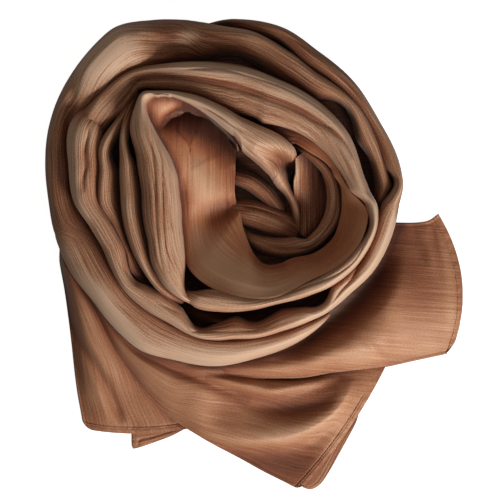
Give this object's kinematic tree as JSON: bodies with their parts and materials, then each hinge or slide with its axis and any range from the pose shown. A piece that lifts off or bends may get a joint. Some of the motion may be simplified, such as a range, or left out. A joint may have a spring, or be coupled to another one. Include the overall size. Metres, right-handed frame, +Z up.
{
  "type": "hijab",
  "caption": "Long satin scarf for the head, laid flat wound as a rose: turns of cloth stand round a soft bowl and both hemmed ends lie out beside it.",
  "frame": {"origin": "on the surface the scarf lies on, under the centre of its outline", "axes": "+Z up, away from the surface; +Y towards the back of the rose, along its longest side, with the two hemmed ends at -Y; +X to the right as seen from above"},
  "size_m": [0.2936, 0.3305, 0.079],
  "materials": {
    "left_end": "satin",
    "left_end_layer": "satin",
    "lower_end": "satin",
    "lower_end_layer": "satin",
    "right_end": "satin",
    "outer_wrap": "satin",
    "outer_turn": "satin",
    "second_turn": "satin",
    "side_fold": "satin",
    "inner_fold": "satin",
    "inner_turn": "satin",
    "petal": "satin",
    "heart_ring": "satin",
    "heart_wall": "satin",
    "heart_band": "satin",
    "heart_roll": "satin",
    "core": "satin"
  },
  "bodies": {
    "root": {"left_end": "left_end", "left_end_layer": "left_end_layer", "lower_end": "lower_end", "lower_end_layer": "lower_end_layer", "right_end": "right_end", "outer_wrap": "outer_wrap", "outer_turn": "outer_turn", "second_turn": "second_turn", "side_fold": "side_fold", "inner_fold": "inner_fold", "inner_turn": "inner_turn", "petal": "petal", "heart_ring": "heart_ring", "heart_wall": "heart_wall", "heart_band": "heart_band", "heart_roll": "heart_roll", "core": "core"}
  },
  "joints": []
}
